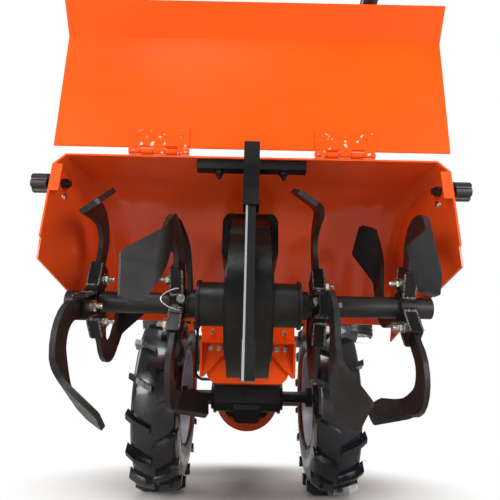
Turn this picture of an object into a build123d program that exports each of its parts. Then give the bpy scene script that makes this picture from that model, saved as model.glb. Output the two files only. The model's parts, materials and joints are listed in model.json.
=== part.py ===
from build123d import *
import math
import os

# Walk-behind rear-tine rotavator. Millimetres, +Y forward, +X right, +Z up, floor at Z = 0.
# Inside the shape functions Y is counted from the wheel axle; save() moves each node by AXLE_Y,
# which puts the origin on the floor under the middle of the machine's length.

# ---- driving dimensions ----
FRONT_REACH = 600.0          # axle to the front of the weight plate
REAR_REACH = 1205.0          # axle to the ends of the handlebar grips
AXLE_Y = (REAR_REACH - FRONT_REACH) / 2
HALF_WIDTH = 375.0           # middle line to the outside of a grip and of the air cleaner

WHEEL_R = 207.5              # 4.00-8 tyre over the lugs
WHEEL_X = 187.0              # middle plane of a wheel
TYRE_W = 104.0
RIM_R = 101.5
LUG_H = 12.0
LUGS = 16                    # lug pairs on a tyre
LUG_W = 15.0
LUG_LEAN = 27.0              # how far a lug's outer end runs ahead of its inner end

AXLE_R = 13.0
FIT = 0.05                   # running fit of shafts and pins in their bores, on the radius
GAP = 0.3                    # between curved faces of separate pieces
CASE_X = 74.0                # half width of the transmission at the axle
CASE_TOP = 352.0
BELL_Y = (150.0, 250.0)      # clutch bell housing
BELL_R = 90.0
CRANK_Z = 213.0
ENGINE_Y = (258.0, 430.0)    # crankcase
ENGINE_TOP = 292.0
CRADLE_Z = (138.0, 150.0)    # engine cradle under the crankcase
PLATE_T = 12.0               # weight plate at the front

SHAFT_Y = -520.0             # tine shaft
SHAFT_Z = 309.0
SHAFT_R = 15.0
SHAFT_X = 255.0
TINE_REACH = 165.0           # shaft axis to the free edge of a folded tine
TINE_T = 7.0
CASE_W = 55.0                # width of the tiller's gear case

HOOD_X = 270.0               # outside of the hood's side plates
SEAM_X = 208.0               # edge of the middle sheet, lapped by the wings
BEVEL = 16.0                 # folded corner between the arch and a side plate
SHEET = 2.5
HOOD_ARC = (-470.0, 325.0)   # middle of the arch (Y, Z)
HOOD_ARC_R = 188.0           # inside radius of the arch
HOOD_SLOPE = 10.0            # fall of the flat rear part
HOOD_REAR = -608.0
HOOD_FRONT_Z = 331.0
HINGE_Y = -610.0
HINGE_Z = 499.0
HINGE_X = 127.0
HINGE_W = 83.0
FLAP_MAIN = 175.0
FLAP_LIP = 49.0

SPUR_Y = -640.0              # depth spur and its sleeve
SPUR_BAR = (12.0, 18.0)      # section of the spur, along X and Y
SPUR_TOP = 486.0
SLEEVE_Z = (402.0, 490.0)

PIVOT = (-40.0, 430.0)       # handlebar hinge (Y, Z)
PIVOT_R = 8.0
BAR_R = 13.0
CROSS = (-150.0, 521.0)      # cross tube that carries the two handle tubes (Y, Z)
STEM_R = 14.0
CROSS_R = 16.0
GRIP_R = 17.5
GRIP_X = HALF_WIDTH - GRIP_R
GRIP_Z = 925.0
GRIP_LEN = 120.0

STAND_Y = FRONT_REACH - 52.0  # pivot tube of the parking stand
STAND_Z = 212.0
STAND_R = 12.0
STAND_X = 250.0              # middle of a foot

CLEANER_R = 78.0
CLEANER_X = HALF_WIDTH - CLEANER_R
CLEANER_Y = 240.0
CLEANER_Z = (392.0, 446.0)

os.makedirs("parts", exist_ok=True)


# ---- helpers ----
def save(name, *shapes):
    """Writes one node, moved from axle coordinates into the machine's frame."""
    solids = [s for shape in shapes for s in shape.solids()]
    body = solids[0] if len(solids) == 1 else Compound(children=solids)
    export_step(Pos(0, AXLE_Y, 0) * body, f"parts/{name}.step")


def block(x, y, z):
    """Box between the two values of each pair."""
    size = [abs(b - a) for a, b in (x, y, z)]
    mid = [(a + b) / 2 for a, b in (x, y, z)]
    return Pos(*mid) * Box(*size)


def bar_x(x, y, z, r):
    """Round bar along X between the two values of x."""
    return Pos((x[0] + x[1]) / 2, y, z) * Rot(0, 90, 0) * Cylinder(r, abs(x[1] - x[0]))


def bar_y(x, y, z, r):
    """Round bar along Y between the two values of y."""
    return Pos(x, (y[0] + y[1]) / 2, z) * Rot(90, 0, 0) * Cylinder(r, abs(y[1] - y[0]))


def bar_z(x, y, z, r):
    """Round bar along Z between the two values of z."""
    return Pos(x, y, (z[0] + z[1]) / 2) * Cylinder(r, abs(z[1] - z[0]))


def rod(start, end, r):
    """Round rod from one point to another."""
    a, b = Vector(*start), Vector(*end)
    place = Plane(origin=a, z_dir=b - a)
    return place * Cylinder(r, (b - a).length, align=(Align.CENTER, Align.CENTER, Align.MIN))


def slab(points, x):
    """Plate with a straight-sided outline of (Y, Z) points, between the two values of x."""
    face = make_face(Polyline(*[(0, p[0], p[1]) for p in points], close=True))
    return Pos(x[0], 0, 0) * extrude(face, x[1] - x[0], dir=(1, 0, 0))


def panel(points, y):
    """Plate with a straight-sided outline of (X, Z) points, between the two values of y."""
    face = make_face(Polyline(*[(p[0], 0, p[1]) for p in points], close=True))
    return Pos(0, y[0], 0) * extrude(face, y[1] - y[0], dir=(0, 1, 0))


def pipe(points, radius, bend, bore=0.0):
    """Round rod or tube along straight runs with equal bends."""
    path = FilletPolyline(*points, radius=bend)
    start = Plane(origin=path @ 0, z_dir=path % 0)
    section = Circle(radius) - Circle(bore) if bore else Circle(radius)
    return sweep(start * section, path)


def both(make):
    """The piece on the right and its mirror image on the left."""
    right = make()
    return right, mirror(right, about=Plane.YZ)


# ---- wheels ----
def tyre():
    """Tyre at the origin on the X axis, with a V of lugs at each step round the tread."""
    crown = WHEEL_R - LUG_H
    half = TYRE_W / 2 - 2
    wall, bead = 9.0, 10.0
    foot = RIM_R
    mid = (foot + crown) / 2 - 2

    def side(x_bead, x_wall, x_top, r_top, x_crown, r_crown):
        """Points up one side of the section, from the bead to the edge of the crown."""
        shoulder = ((x_top + x_crown) / 2 + 2, (r_top + r_crown) / 2 + 1.5)
        return [(x_bead, foot), (x_wall, mid), (x_top, r_top), shoulder, (x_crown, r_crown)]

    outer = side(half - 14, half, half - 4, crown - 17, half - 15, crown - 4.5)
    inner = side(half - 14 - bead, half - wall, half - 13, crown - 24, half - 24, crown - 12)

    def shell(p, top):
        """The two walls and the crown of one surface, as arcs."""
        q = [(-x, r) for x, r in p]
        return (
            ThreePointArc(p[0], p[1], p[2]) + ThreePointArc(p[2], p[3], p[4])
            + ThreePointArc(p[4], (0, top), q[4])
            + ThreePointArc(q[4], q[3], q[2]) + ThreePointArc(q[2], q[1], q[0])
        )

    beads = Line(outer[0], inner[0]) + Line((-outer[0][0], foot), (-inner[0][0], foot))
    carcass = revolve(make_face(shell(outer, crown) + shell(inner, crown - wall) + beads), Axis.X)
    step = 360 / LUGS
    lugs = []
    for side_sign in (-1, 1):
        shift = 0.5 if side_sign > 0 else 0.0
        lugs += [Rot(step * (i + shift), 0, 0) * lug(side_sign) for i in range(LUGS)]
    return carcass.fuse(*lugs)


def lug(side_sign):
    """One slanted lug, from the middle of the tread over the shoulder to the tyre's side."""
    end = TYRE_W / 2
    # share of the half width, drop of the top, height of the section
    table = [(0.04, 0.0, LUG_H + 6), (0.66, 2.0, LUG_H + 8), (1.0, 12.0, LUG_H + 10)]
    sections = []
    for share, drop, height in table:
        top = WHEEL_R - drop
        a, b = LUG_W / 2, LUG_W / 2 - 2
        y = LUG_LEAN * share
        face = make_face(
            Polyline((0, y - a, top - height), (0, y + a, top - height), (0, y + b, top), (0, y - b, top), close=True)
        )
        sections.append(Pos(side_sign * end * share, 0, 0) * face)
    return loft(sections, ruled=True)


def rim():
    """Pressed steel rim with a dished disc, at the origin on the X axis."""
    r = RIM_R - GAP
    inner = r - 4
    half = TYRE_W / 2 - 8
    barrel = bar_x((-half + 4, half - 4), 0, 0, r) - bar_x((-half, half), 0, 0, inner)
    flanges = [bar_x((s * (half - 4), s * half), 0, 0, r + 5.5) for s in (-1, 1)]
    disc = bar_x((-4, 2), 0, 0, r - 2) + bar_x((-12, 2), 0, 0, 46)
    holes = [bar_x((-6, 4), 72 * math.cos(a), 72 * math.sin(a), 14) for a in [math.tau * i / 5 for i in range(5)]]
    body = barrel.fuse(*[f - bar_x((-half - 1, half + 1), 0, 0, inner) for f in flanges], disc)
    return body - bar_x((-13, 4), 0, 0, 20) - Compound(children=holes)


def axle():
    """Half shaft out of the transmission with its hub flange."""
    face = WHEEL_X - 12.4
    shaft = bar_x((CASE_X - 14, WHEEL_X - 6), 0, WHEEL_R, AXLE_R)
    hub = bar_x((WHEEL_X - 46, face), 0, WHEEL_R, 22)
    return shaft + hub + bar_x((face - 6, face), 0, WHEEL_R, 44)


# ---- transmission and engine ----
def transmission():
    """Cast gear case round the axle, with the sump below and the neck for the tiller."""
    low_z = WHEEL_R - 60
    low = slab([(-62, low_z + 28), (-40, low_z), (40, low_z), (62, low_z + 28), (62, 300), (-62, 300)], (-30, 30))
    low = fillet(low.edges().filter_by(Axis.Y).group_by(Axis.Z)[0], 12)
    body = slab([(-66, 190), (-44, 173), (44, 173), (66, 190), (66, 268), (-66, 268)], (-CASE_X, CASE_X))
    top = block((-48, 48), (-70, 120), (260, CASE_TOP))
    top = chamfer(top.edges().filter_by(Axis.Y).group_by(Axis.Z)[-1], 10)
    neck = block((-40, 40), (-120, -60), (262, 340))
    nose = block((-58, 58), (60, BELL_Y[0] - 1), (160, 330))
    nose = chamfer(nose.edges().filter_by(Axis.Y), 16)
    case = low + body + top + neck + nose
    for s in (-1, 1):
        case += bar_x((s * CASE_X, s * (CASE_X + 10)), 0, WHEEL_R, 30)
        case += bar_x((s * (CASE_X - 2), s * (CASE_X + 4)), 0, WHEEL_R, 38)
        case -= bar_x((s * (CASE_X - 15), s * (CASE_X + 12)), 0, WHEEL_R, AXLE_R + FIT)
    return case


def bell():
    """Clutch bell housing between the case and the engine, with its bolted rim."""
    y0, y1 = BELL_Y
    outline = [(y0 - 1, 0), (y0 - 1, 72), (y0 + 15, BELL_R - 6), (y1 - 14, BELL_R - 6)]
    outline += [(y1 - 14, BELL_R), (y1, BELL_R), (y1, 0)]
    cone = revolve(make_face(Polyline(*[(0, y, r) for y, r in outline], close=True)), Axis.Y)
    return Pos(0, 0, CRANK_Z) * cone


def engine():
    """Crankcase block with a tapered sump, at its real size, standing on the cradle."""
    base = CRADLE_Z[1]
    side = [(62, base), (95, base + 40), (95, ENGINE_TOP), (-95, ENGINE_TOP), (-95, base + 40), (-62, base)]
    case = panel(side, ENGINE_Y)
    case = chamfer(case.edges().filter_by(Axis.Y).group_by(Axis.Z)[-1], 12)
    return case + bar_y(0, (BELL_Y[1], ENGINE_Y[0]), CRANK_Z, BELL_R - 12)


TANK_Z = (414.0, 500.0)
FINS = 8
FIN_PITCH = 14.0
FIN_T = 6.0


def cylinder():
    """Finned cylinder on the crankcase, a stack of plates on a core, with the rocker cover."""
    mid = (ENGINE_Y[0] + ENGINE_Y[1]) / 2 - 6
    base = ENGINE_TOP + 0.2
    height = TANK_Z[0] - base
    core = block((-48, 48), (mid - 50, mid + 50), (0, height))
    fins = []
    for i in range(FINS):
        low = 10 + FIN_PITCH * i
        fins.append(block((-66, 66), (mid - 66, mid + 66), (low, low + FIN_T)))
    return Pos(-20, 0, base) * core.fuse(*fins)


RECOIL_R = 104.0
RECOIL_SLOTS = 12


def recoil():
    """Fan shroud and pull starter on the front of the engine, with its ring of air slots."""
    z = CRANK_Z + 20
    y = ENGINE_Y[1]
    drum = bar_y(0, (y, y + 75), z, RECOIL_R)
    drum = fillet(drum.edges().group_by(Axis.Y)[-1], 16)
    cap = bar_y(0, (y + 75, y + 96), z, 62)
    body = drum + fillet(cap.edges().group_by(Axis.Y)[-1], 8)
    body &= block((-RECOIL_R, RECOIL_R), (y, FRONT_REACH), (CRADLE_Z[1] + 1, z + RECOIL_R))
    slot = block((-5, 5), (y + 80, y + 97), (36, 54))
    for i in range(RECOIL_SLOTS):
        body -= Pos(0, 0, z) * Rot(0, 360 / RECOIL_SLOTS * i, 0) * slot
    return body


def tank():
    """Fuel tank over the engine, rounded like a pressed tank, with its seam and cap."""
    box = block((-150, 110), (270, 450), TANK_Z)
    box = fillet(box.edges().filter_by(Axis.Z), 34)
    box = fillet(box.edges().group_by(Axis.Z)[-1], 22)
    seam_z = (TANK_Z[0] + TANK_Z[1]) / 2 - 8
    seam = fillet(block((-155, 115), (265, 455), (seam_z, seam_z + 4)).edges().filter_by(Axis.Z), 38)
    return box + seam + bar_z(-60, 360, (TANK_Z[1] - 4, TANK_Z[1] + 20), 30)


CLEANER_RINGS = 3


def air_cleaner():
    """Round air cleaner beside the engine, with its ribs and its elbow to the cylinder."""
    low, high = CLEANER_Z
    drum = bar_z(CLEANER_X, CLEANER_Y, (low, high), CLEANER_R - 3)
    drum = fillet(drum.edges().group_by(Axis.Z)[-1], 10)
    for i in range(CLEANER_RINGS):
        z = low + 6 + 12 * i
        drum += bar_z(CLEANER_X, CLEANER_Y, (z, z + 5), CLEANER_R)
    elbow = block((46, CLEANER_X - 20), (300, 340), (374, 404))
    drop = block((CLEANER_X - 60, CLEANER_X - 20), (CLEANER_Y, 340), (374, low))
    return drum + elbow + drop


def carburettor():
    """Carburettor body and float bowl hung under the air cleaner."""
    body = block((CLEANER_X - 34, CLEANER_X + 10), (CLEANER_Y - 22, CLEANER_Y - 2), (372, CLEANER_Z[0]))
    bowl = bar_z(CLEANER_X - 12, CLEANER_Y - 24, (350, 372), 22)
    bowl = fillet(bowl.edges().group_by(Axis.Z)[0], 6)
    arm = block((CLEANER_X + 10, CLEANER_X + 62), (CLEANER_Y - 18, CLEANER_Y - 6), (376, CLEANER_Z[0]))
    return body + bowl + arm


MUFFLER_HOLES = 5


def muffler():
    """Exhaust box beside the cylinder on the left, with its pipe and outlet."""
    box = block((-215, -125), (285, 425), (306, 398))
    box = fillet(box.edges().filter_by(Axis.Y), 26)
    seam = block((-172, -168), (281, 429), (302, 402))
    seam = fillet(seam.edges().filter_by(Axis.X), 20)
    outlet = rod((-190, 285, 330), (-190, 262, 322), 9)
    return box + seam + outlet + block((-126, -86), (330, 370), (330, 362))


PLATE_X = 80.0
PLATE_Z = (142.0, 262.0)
BOLT_X = 55.0                # holes for front weights
BOLT_Z = (172.0, 232.0)
BOLT_R = 6.5
EAR_X = 68.0


def cradle():
    """Engine cradle with the front plate, which has holes for weights and ears for the stand."""
    back = FRONT_REACH - PLATE_T
    z0, z1 = CRADLE_Z
    plate = block((-PLATE_X, PLATE_X), (back, FRONT_REACH), PLATE_Z)
    plate = chamfer(plate.edges().filter_by(Axis.Y), 8)
    frame = plate + block((-50, 50), (back - 14, back), (z0 + 4, z1))
    for s in (-1, 1):
        frame += block((s * 37, s * 53), (ENGINE_Y[0], back), (z0, z1))
        ear = block((s * (EAR_X - 6), s * (EAR_X + 6)), (STAND_Y - 18, back), (STAND_Z - 16, STAND_Z + 16))
        frame += ear - bar_x((-PLATE_X, PLATE_X), STAND_Y, STAND_Z, STAND_R + FIT)
    frame += block((-50, 50), (ENGINE_Y[0], ENGINE_Y[0] + 16), (z0 + 4, z1))
    for x in (-BOLT_X, BOLT_X):
        for z in BOLT_Z:
            frame -= bar_y(x, (back - 1, FRONT_REACH + 1), z, BOLT_R)
    return frame


# ---- tiller ----
def tiller_case():
    """Gear case of the tine shaft: upright column with a round foot and a wide bolted head."""
    w = CASE_W / 2
    foot = bar_x((-w, w), SHAFT_Y, SHAFT_Z, 100)
    rim_ring = bar_x((-w - 4, w + 4), SHAFT_Y, SHAFT_Z, 78)
    column = slab([(-600, 330), (-560, 410), (-472, 466), (-380, 466), (-380, 300), (-440, 250)], (-w, w))
    top, shoulder = 472, 45.0
    head_side = [(w, 372), (shoulder, 404), (shoulder, top - 12), (shoulder - 10, top)]
    head = panel(head_side + [(-x, z) for x, z in reversed(head_side)], (-470, -372))
    bosses = [bar_y(s * 31, (-480, -460), top - 16, 12) for s in (-1, 1)]
    rib = panel([(w + 2, 360), (w + 7, 368), (w + 7, 376), (-w - 7, 376), (-w - 7, 368), (-w - 2, 360)], (-474, -372))
    tunnel = block((-34, 34), (-380, -120), (262, 326))
    stay = slab([(SPUR_Y + 13, 448), (-440, 448), (-440, 466), (SPUR_Y + 13, 466)], (-6, 6))
    stay += slab([(-604, 466), (-590, 466), (-590, 478), (-604, 478)], (-6, 6))
    case = foot.fuse(rim_ring, column, head, *bosses, rib, tunnel, stay)
    for s in (-1, 1):
        case += bar_x((s * w, s * (w + 6.5)), SHAFT_Y, SHAFT_Z, 34)
    return case - bar_x((-w - 12, w + 12), SHAFT_Y, SHAFT_Z, SHAFT_R + FIT)


BRACKET_X = 99.0
BRACKET_Y = -160.0


def bracket():
    """Coupling bracket between the tractor and the tiller: flange, ledge, gussets and rounded saddle."""
    x, y = BRACKET_X, BRACKET_Y
    side = [(34, 282), (52, 282), (x - 7, 238), (x, 238), (x, CASE_TOP)]
    flange = panel(side + [(-a, z) for a, z in reversed(side)], (y - 12, y))
    ledge = block((-x, x), (y - 40, y - 12), (304, 310))
    gussets = []
    for s in (-1, 1):
        edge = (s * (x - 5), s * x)
        gussets.append(slab([(y - 12, 304), (y - 40, 304), (y - 12, 240)], (min(edge), max(edge))))
    saddle = block((-86, 86), (y, -120), (226, 286))
    saddle = fillet(saddle.edges().filter_by(Axis.Y).group_by(Axis.Z)[0], 24)
    neck = block((-50, 50), (y, -120), (280, 346))
    return flange.fuse(ledge, *gussets, saddle, neck) - block((-34, 34), (y - 60, -110), (262, 326))


def shaft():
    """Tine shaft with its two guard drums."""
    body = bar_x((-SHAFT_X, SHAFT_X), SHAFT_Y, SHAFT_Z, SHAFT_R)
    start = CASE_W / 2 + 7
    for s in (-1, 1):
        for x0, x1, r in ((start, 71, 31), (68, 72, 34), (72, 82, 20)):
            body += bar_x((s * x0, s * x1), SHAFT_Y, SHAFT_Z, r)
    return body


SHANK_W = 24.0
SOCKET_END = 56.0
FOLD_AT = 130.0              # shaft axis to the start of the fold
FOLD_R = 16.0
FOLD_LEAN = 20.0             # the fold line leans back from square to the shank


def tine(fold):
    """One hatchet tine at the origin, root upwards, trailing to the rear, folded by fold towards X."""
    lean = math.radians(FOLD_LEAN)
    out = Vector(0, -math.sin(lean), math.cos(lean))
    trail = Vector(0, -math.cos(lean), -math.sin(lean))
    a = SHANK_W / 2

    def rooted(r, t):
        """Point of the shank, r up and t to the rear."""
        return Vector(0, -t, r)

    def bladed(v, w):
        """Point of the blade, v out to the fold and w along it."""
        return out * v + trail * w

    front = FOLD_AT + 6
    top, heel = bladed(TINE_REACH, 12), bladed(TINE_REACH - 12, 56)
    edge = (
        Line(rooted(20, -a), rooted(78, -a))
        + ThreePointArc(rooted(78, -a), bladed(front - 26, -40), bladed(front, -30))
        + Line(bladed(front, -30), bladed(TINE_REACH - 14, -12))
        + ThreePointArc(bladed(TINE_REACH - 14, -12), bladed(TINE_REACH - 3, -2), top)
        + Line(top, heel) + Line(heel, bladed(FOLD_AT + 3, 42))
        + ThreePointArc(bladed(FOLD_AT + 3, 42), bladed(FOLD_AT - 5, 2), rooted(84, a))
        + Line(rooted(84, a), rooted(20, a)) + Line(rooted(20, a), rooted(20, -a))
    )
    outline = Pos(-90, 0, 0) * extrude(make_face(edge), 180, dir=(1, 0, 0))

    angle = math.radians(abs(fold))
    side = Vector(math.copysign(1, fold), 0, 0)
    h = TINE_T / 2

    def strip(v, u):
        return out * v + side * u - trail * 90

    centre = (FOLD_AT, FOLD_R)

    def turned(r, share):
        """Point of the fold at radius r, after a share of the whole angle."""
        return strip(centre[0] + r * math.sin(angle * share), centre[1] - r * math.cos(angle * share))

    run = 90
    ahead = out * (run * math.cos(angle)) + side * (run * math.sin(angle))
    outer, inner = FOLD_R + h, FOLD_R - h
    profile = (
        Line(strip(0, -h), strip(FOLD_AT, -h))
        + ThreePointArc(strip(FOLD_AT, -h), turned(outer, 0.5), turned(outer, 1))
        + Line(turned(outer, 1), turned(outer, 1) + ahead)
        + Line(turned(outer, 1) + ahead, turned(inner, 1) + ahead)
        + Line(turned(inner, 1) + ahead, turned(inner, 1))
        + ThreePointArc(turned(inner, 1), turned(inner, 0.5), strip(FOLD_AT, h))
        + Line(strip(FOLD_AT, h), strip(0, h)) + Line(strip(0, h), strip(0, -h))
    )
    sheet = extrude(make_face(profile), 180, dir=trail)
    return (outline & sheet).solids()[0]


def socket():
    """Short rectangular socket welded on the shaft."""
    body = block((-8.5, 8.5), (-16, 16), (10, SOCKET_END))
    return chamfer(body.edges().filter_by(Axis.X).group_by(Axis.Z)[-1], 3)


# tine groups: X of the group, then (root angle from up towards the rear, fold) of each tine
TINE_GROUPS = {
    "tines_outer_left": (-219.0, [(27, 58), (115, 50), (207, 58), (297, 58)]),
    "tines_inner_left": (-99.0, [(-22, -58), (63, -58), (158, 58), (248, 58)]),
    "tines_inner_right": (99.0, [(-12, 58), (78, 58), (160, 58), (258, -58)]),
    "tines_outer_right": (219.0, [(-30, -58), (62, -58), (150, -58), (240, -58)]),
}


def tine_group(x, tines):
    """Collar on the shaft with four sockets and four tines."""
    collar = bar_x((x - 11, x + 11), SHAFT_Y, SHAFT_Z, 21)
    parts = []
    for angle, fold in tines:
        place = Pos(x, SHAFT_Y, SHAFT_Z) * Rot(angle, 0, 0)
        parts.append(place * (socket() + tine(fold)))
    return collar.fuse(*parts) - bar_x((x - 60, x + 60), SHAFT_Y, SHAFT_Z, SHAFT_R + 0.02)


# ---- hood ----
def hood_points(lift):
    """Rear end, start of the arch, a point on it and its front end, lifted off the inner face by lift."""
    cy, cz = HOOD_ARC
    r = HOOD_ARC_R + lift
    slope = math.radians(HOOD_SLOPE)
    start = (cy - r * math.sin(slope), cz + r * math.cos(slope))
    rear_z = start[1] - (start[0] - HOOD_REAR) * math.tan(slope)
    middle = (cy + r * math.sin(math.radians(40)), cz + r * math.cos(math.radians(40)))
    front = (cy + math.sqrt(r * r - (HOOD_FRONT_Z - cz) ** 2), HOOD_FRONT_Z)
    return (HOOD_REAR, rear_z), start, middle, front


def hood_edge(points):
    """The arch as a line and an arc in the YZ plane."""
    rear, start, middle, front = [(0, y, z) for y, z in points]
    return Line(rear, start) + ThreePointArc(start, middle, front)


def hood_sheet(x):
    """Arched sheet between the two values of x."""
    inner, outer = hood_points(0), hood_points(SHEET)
    ends = Line((0, *inner[0]), (0, *outer[0])) + Line((0, *inner[-1]), (0, *outer[-1]))
    face = make_face(hood_edge(inner) + hood_edge(outer) + ends)
    return Pos(x[0], 0, 0) * extrude(face, x[1] - x[0], dir=(1, 0, 0))


KNOB_Y = -573.0              # clamp knobs on the side plates
KNOB_Z = 466.0
SIDE_LOW = [(-604, 344), (-438, 324), (-282, 299)]   # lower edge of a side plate (Y, Z)


def hood_side():
    """Right wing: outer part of the arch, the folded corner and the side plate."""
    t = SHEET
    x0 = HOOD_X - BEVEL
    drop = BEVEL + 5
    k = t * math.tan(math.radians(22.5))
    section = [(SEAM_X, 0), (x0 - k, 0), (HOOD_X - t, -BEVEL + k + t - t), (HOOD_X - t, -drop)]
    section += [(HOOD_X, -drop), (HOOD_X, t - BEVEL), (x0, t), (SEAM_X, t)]
    cy, cz = HOOD_ARC
    face = make_face(Polyline(*[(x, 0, HOOD_ARC_R + h) for x, h in section], close=True))
    place = Pos(0, cy, cz) * Rot(HOOD_SLOPE, 0, 0)
    flat = place * extrude(face, 200, dir=(0, -1, 0))
    arch = place * revolve(face, Axis.X, -110)
    corner = (flat + arch) & block((0, 400), (HOOD_REAR, 0), (HOOD_FRONT_Z, 600))
    corner += (flat + arch) & block((HOOD_X - t, HOOD_X), (HOOD_REAR, 0), (HOOD_FRONT_Z - 20, 600))
    line = hood_points(-drop + 4)
    low = [(0, *line[0])] + [(0, y, z) for y, z in SIDE_LOW] + [(0, *line[-1])]
    plate = Pos(HOOD_X - t, 0, 0) * extrude(make_face(hood_edge(line) + Polyline(*low)), t, dir=(1, 0, 0))
    lip = slab([(HOOD_REAR, 478), (HOOD_REAR, 372), (HOOD_REAR + t, 372), (HOOD_REAR + t, 478)], (HOOD_X - 14, HOOD_X))
    bore = bar_x((HOOD_X - 5, HOOD_X + 5), KNOB_Y, KNOB_Z, 5.0)
    return corner + plate + lip - bore


FLAP_LEAN = 5.0              # the open flap leans back from upright
LIP_LEAN = 43.0
FLAP_LOW = (-614.0, 503.0)   # rear face of the flap at its lower edge (Y, Z)


def flap():
    """Rear flap as it stands open, with its bent lip."""
    lean, lip = math.radians(FLAP_LEAN), math.radians(LIP_LEAN)
    a = FLAP_LOW
    b = (a[0] - FLAP_MAIN * math.sin(lean), a[1] + FLAP_MAIN * math.cos(lean))
    c = (b[0] - FLAP_LIP * math.sin(lip), b[1] + FLAP_LIP * math.cos(lip))
    n = (SHEET * math.cos(lean), SHEET * math.sin(lean))
    m = (SHEET * math.cos(lip), SHEET * math.sin(lip))
    knee = (b[0] + n[0], b[1] + n[1] + 0.8)
    outline = [a, b, c, (c[0] + m[0], c[1] + m[1]), knee, (a[0] + n[0], a[1] + n[1])]
    return slab(outline, (-HOOD_X, HOOD_X))


KNUCKLES = 5
KNUCKLE_R = 4.0
PIN_R = 2.0
LEAF_T = 2.0


def knuckles(first):
    """X ranges of every second knuckle of a hinge."""
    width = HINGE_W / KNUCKLES
    left = -HINGE_W / 2
    return [(left + width * i + 0.5, left + width * (i + 1) - 0.5) for i in range(first, KNUCKLES, 2)]


def hood_leaf():
    """Hinge leaf on the hood, lying on its flat rear part, with two knuckles."""
    slope = math.radians(HOOD_SLOPE)
    rear = hood_points(SHEET)[0]

    def on(d, h):
        return (
            rear[0] + d * math.cos(slope) - h * math.sin(slope),
            rear[1] + d * math.sin(slope) + h * math.cos(slope),
        )

    leaf = slab([on(1, 0), on(30, 0), on(30, LEAF_T), on(1, LEAF_T)], (-HINGE_W / 2, HINGE_W / 2))
    for x in knuckles(1):
        leaf += bar_x(x, HINGE_Y, HINGE_Z, KNUCKLE_R)
        leaf += slab([on(1, 0), on(12, 0), on(12, LEAF_T), on(1, LEAF_T + 3)], x)
    for x in knuckles(0):
        leaf -= bar_x((x[0] - 0.6, x[1] + 0.6), HINGE_Y, HINGE_Z, KNUCKLE_R + 0.6)
    return leaf - bar_x((-HINGE_W, HINGE_W), HINGE_Y, HINGE_Z, PIN_R + FIT)


def flap_leaf():
    """Hinge leaf on the rear face of the flap, with three knuckles on the pin."""
    lean = math.radians(FLAP_LEAN)

    def on(d, h):
        return (
            FLAP_LOW[0] - d * math.sin(lean) - h * math.cos(lean),
            FLAP_LOW[1] + d * math.cos(lean) - h * math.sin(lean),
        )

    leaf = slab([on(1, 0), on(28, 0), on(28, LEAF_T), on(1, LEAF_T)], (-HINGE_W / 2, HINGE_W / 2))
    for x in knuckles(0):
        leaf += bar_x(x, HINGE_Y, HINGE_Z, KNUCKLE_R)
        tail = [on(3, 0), on(3, LEAF_T), (HINGE_Y - KNUCKLE_R + 0.1, HINGE_Z), (HINGE_Y - 2.5, HINGE_Z + 2.5)]
        leaf += slab(tail + [(FLAP_LOW[0] - 0.1, FLAP_LOW[1] - 0.2)], x)
    return leaf + bar_x((-HINGE_W / 2, HINGE_W / 2), HINGE_Y, HINGE_Z, PIN_R)


def crossbar():
    """Black stay under the rear edge of the hood, on top of the case's stay."""
    inner = hood_points(0)[0]
    rise = math.tan(math.radians(HOOD_SLOPE))

    def under(y):
        return (y, inner[1] + (y - inner[0]) * rise)

    return slab([under(-604), under(-590), (-590, 478), (-604, 478)], (-75, 75))


SLEEVE_WALL = 4.0
SLIDE = 0.3                  # clearance of the spur in its sleeve


def sleeve():
    """Rectangular guide of the depth spur."""
    x, y = SPUR_BAR[0] / 2 + SLIDE, SPUR_BAR[1] / 2 + SLIDE
    wx, wy = x + SLEEVE_WALL - SLIDE, y + SLEEVE_WALL - SLIDE
    tube = block((-wx, wx), (SPUR_Y - wy, SPUR_Y + wy), SLEEVE_Z)
    return tube - block((-x, x), (SPUR_Y - y, SPUR_Y + y), (SLEEVE_Z[0] - 1, SLEEVE_Z[1] + 1))


def spur():
    """Depth spur: flat bar with a bent foot."""
    x, y = SPUR_BAR[0] / 2, SPUR_BAR[1] / 2
    bar = block((-x, x), (SPUR_Y - y, SPUR_Y + y), (240, SPUR_TOP))
    foot = slab([(SPUR_Y - y, 240), (SPUR_Y + y, 240), (SPUR_Y + 2, 196), (SPUR_Y - 14, 196)], (-x - 2, x + 2))
    return bar + foot


def knob(s):
    """Clamp knob outside the side plate."""
    stem = bar_x((s * (HOOD_X - 14), s * (HOOD_X + 15)), KNOB_Y, KNOB_Z, 4.95)
    nut = bar_x((s * (HOOD_X - 10), s * (HOOD_X - SHEET)), KNOB_Y, KNOB_Z, 7)
    collar = bar_x((s * HOOD_X, s * (HOOD_X + 15)), KNOB_Y, KNOB_Z, 8)
    head = bar_x((s * (HOOD_X + 15), s * (HOOD_X + 37)), KNOB_Y, KNOB_Z, 14)
    for i in range(6):
        a = math.tau * i / 6
        head -= bar_x((s * (HOOD_X + 14), s * (HOOD_X + 38)), KNOB_Y + 16 * math.cos(a), KNOB_Z + 16 * math.sin(a), 4)
    return stem + nut + collar + head


# ---- handlebar and controls ----
def column():
    """Handlebar column on the top of the transmission, a fork round the stem."""
    post = block((-26, 26), (-70, -10), (CASE_TOP, PIVOT[1] - 34))
    for s in (-1, 1):
        ear = slab([(-70, 390), (-10, 390), (-10, 440), (-22, 452), (-58, 452), (-70, 440)], (0, 9))
        post += Pos(17 if s > 0 else -26, 0, 0) * ear
    return post - bar_x((-40, 40), *PIVOT, PIVOT_R + FIT)


def handle_path(s):
    """Route of one handle tube."""
    return [
        (s * 130, *CROSS),
        (s * 175, -655, 770),
        (s * GRIP_X, -960, GRIP_Z),
        (s * GRIP_X, -REAR_REACH + 3, GRIP_Z),
    ]


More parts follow.
